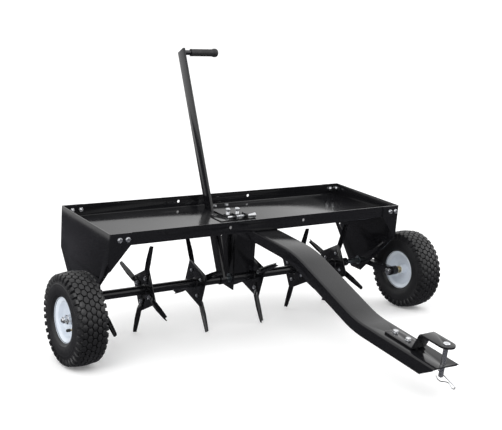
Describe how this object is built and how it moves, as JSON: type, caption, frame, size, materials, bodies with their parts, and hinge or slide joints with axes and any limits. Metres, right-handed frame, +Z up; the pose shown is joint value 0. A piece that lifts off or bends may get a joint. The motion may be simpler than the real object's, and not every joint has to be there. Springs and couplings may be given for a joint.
{
  "type": "tow-behind core aerator",
  "caption": "Tow-behind core aerator: weight tray between folded end panels, spoon tine stars on a cross axle, two pneumatic wheels on a lever-worked crank and a dropped tow bar.",
  "frame": {"origin": "on the ground, under the middle of the whole machine's box, standing on its tyres and tines", "axes": "+X across the machine to the right as seen from behind the hitch looking back, -Y forwards along the tow bar, +Z up"},
  "size_m": [1.272, 1.1984, 0.8519],
  "materials": {
    "black_powder_coat": "gloss-satin black powder coat",
    "bright_zinc": "bright zinc plate",
    "yellow_zinc": "yellow zinc plate and brass",
    "rim_paint": "pale blue-white gloss paint",
    "tyre_rubber": "moulded black rubber",
    "grip_rubber": "soft black moulded rubber"
  },
  "bodies": {
    "frame": {"tray": "black_powder_coat", "left_end_panel": "black_powder_coat", "right_end_panel": "black_powder_coat", "centre_bearing_plate": "black_powder_coat", "left_axle_bush": "yellow_zinc", "centre_axle_bush": "yellow_zinc", "right_axle_bush": "yellow_zinc", "tow_bar": "black_powder_coat", "hitch_strap": "black_powder_coat", "rear_hitch_bolt": "bright_zinc", "front_hitch_bolt": "bright_zinc", "latch_bracket": "black_powder_coat", "latch_spring": "bright_zinc", "left_tray_bolt": "bright_zinc", "right_tray_bolt": "bright_zinc"},
    "lift": {"lift_lever": "black_powder_coat", "lever_grip": "grip_rubber", "cross_axle": "bright_zinc", "left_crank_arm": "black_powder_coat", "left_wheel_bolt": "bright_zinc", "left_wheel_spacer": "yellow_zinc", "right_crank_arm": "black_powder_coat", "right_wheel_bolt": "bright_zinc", "right_wheel_spacer": "yellow_zinc"},
    "left_wheel": {"left_rim": "rim_paint", "left_tyre": "tyre_rubber", "left_valve_stem": "yellow_zinc"},
    "right_wheel": {"right_rim": "rim_paint", "right_tyre": "tyre_rubber", "right_valve_stem": "yellow_zinc"},
    "left_tine_gang": {"left_inner_tine_1": "black_powder_coat", "left_inner_tine_2": "black_powder_coat", "left_inner_tine_3": "black_powder_coat", "left_inner_tine_4": "black_powder_coat", "left_middle_tine_1": "black_powder_coat", "left_middle_tine_2": "black_powder_coat", "left_middle_tine_3": "black_powder_coat", "left_middle_tine_4": "black_powder_coat", "left_outer_tine_1": "black_powder_coat", "left_outer_tine_2": "black_powder_coat", "left_outer_tine_3": "black_powder_coat", "left_outer_tine_4": "black_powder_coat", "left_tine_shaft": "black_powder_coat"},
    "right_tine_gang": {"right_inner_tine_1": "black_powder_coat", "right_inner_tine_2": "black_powder_coat", "right_inner_tine_3": "black_powder_coat", "right_inner_tine_4": "black_powder_coat", "right_middle_tine_1": "black_powder_coat", "right_middle_tine_2": "black_powder_coat", "right_middle_tine_3": "black_powder_coat", "right_middle_tine_4": "black_powder_coat", "right_outer_tine_1": "black_powder_coat", "right_outer_tine_2": "black_powder_coat", "right_outer_tine_3": "black_powder_coat", "right_outer_tine_4": "black_powder_coat", "right_tine_shaft": "black_powder_coat"},
    "latch_pin": {"latch_pin": "bright_zinc"},
    "hitch_pin": {"hitch_pin": "bright_zinc"},
    "hitch_clip": {"hitch_pin_clip": "bright_zinc"}
  },
  "joints": [
    {"name": "lift", "type": "hinge", "parent": "frame", "child": "lift", "pos_m": [0, 0.34829, 0.14346], "axis": [1, 0, 0], "range_deg": [0, 26]},
    {"name": "left_wheel_spin", "type": "hinge", "parent": "lift", "child": "left_wheel", "pos_m": [-0.593, 0.204, 0.12906], "axis": [1, 0, 0], "continuous": true},
    {"name": "right_wheel_spin", "type": "hinge", "parent": "lift", "child": "right_wheel", "pos_m": [0.593, 0.204, 0.12906], "axis": [1, 0, 0], "continuous": true},
    {"name": "left_tine_spin", "type": "hinge", "parent": "frame", "child": "left_tine_gang", "pos_m": [0, 0.34829, 0.14346], "axis": [1, 0, 0], "continuous": true},
    {"name": "right_tine_spin", "type": "hinge", "parent": "frame", "child": "right_tine_gang", "pos_m": [0, 0.34829, 0.14346], "axis": [1, 0, 0], "continuous": true},
    {"name": "latch_slide", "type": "slide", "parent": "frame", "child": "latch_pin", "axis": [1, 0, 0], "range_m": [0, 0.018]},
    {"name": "hitch_pin_lift", "type": "slide", "parent": "frame", "child": "hitch_pin", "axis": [0, -0.198, 0.9802], "range_m": [0, 0.0155]},
    {"name": "hitch_clip_pull", "type": "slide", "parent": "hitch_pin", "child": "hitch_clip", "axis": [0, -0.9032, -0.4292], "range_m": [0, 0.04]}
  ]
}
